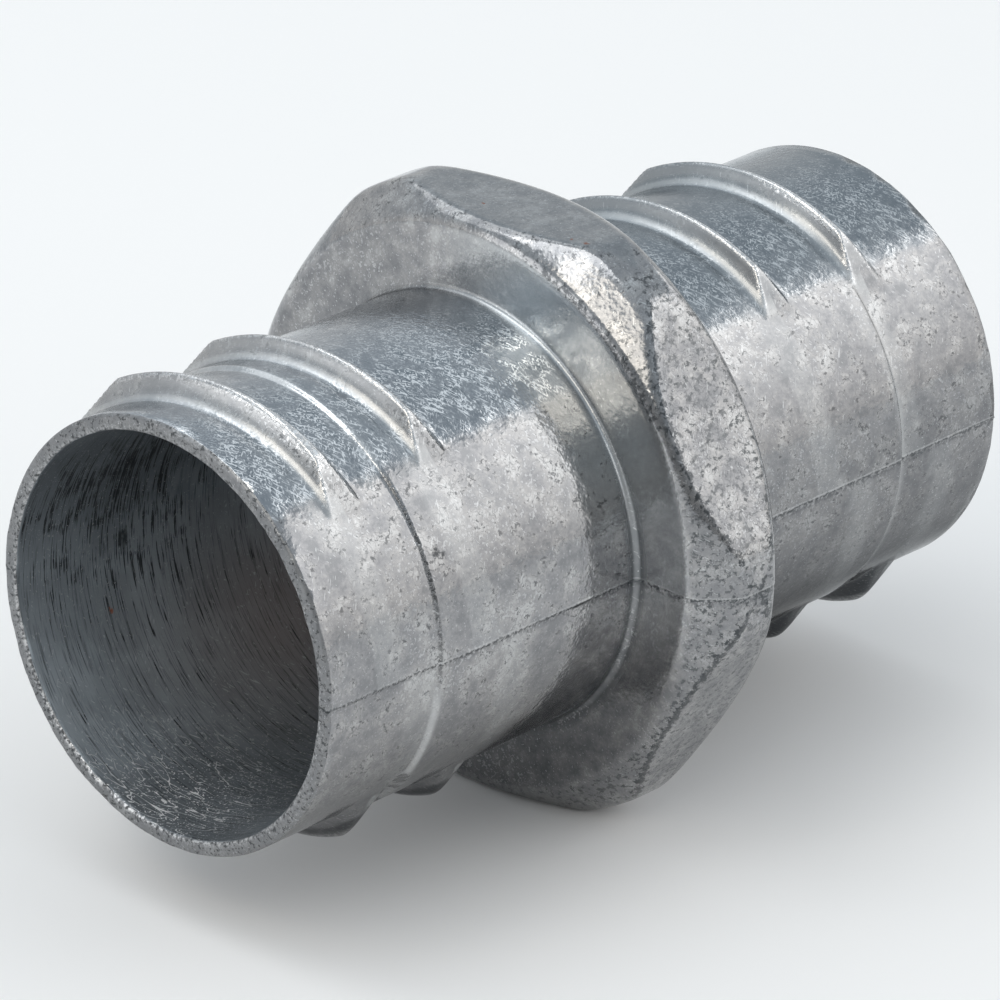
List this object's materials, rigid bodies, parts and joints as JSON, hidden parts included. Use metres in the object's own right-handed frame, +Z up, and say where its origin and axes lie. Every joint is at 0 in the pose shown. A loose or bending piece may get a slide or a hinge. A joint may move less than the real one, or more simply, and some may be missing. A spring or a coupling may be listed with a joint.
{
  "type": "flexible conduit coupling",
  "caption": "Die-cast zinc coupling that joins lengths of spiral metal conduit: ribbed thin-walled spigots either side of a chamfered hexagonal collar, with a plain bore through it.",
  "frame": {"origin": "on the bore's axis, in the middle of the hexagonal collar", "axes": "+X along the bore, towards the spigot that is farther away in the picture; +Z up, out of the collar's top flat; the die parts in the plane z = 0"},
  "size_m": [0.078, 0.0536, 0.0494],
  "materials": {
    "zinc_casting": "bare zinc-alloy die casting, semi-gloss grey with flow marks, fine pits and scratches"
  },
  "bodies": {
    "root": {"coupling_body": "zinc_casting"}
  },
  "joints": []
}
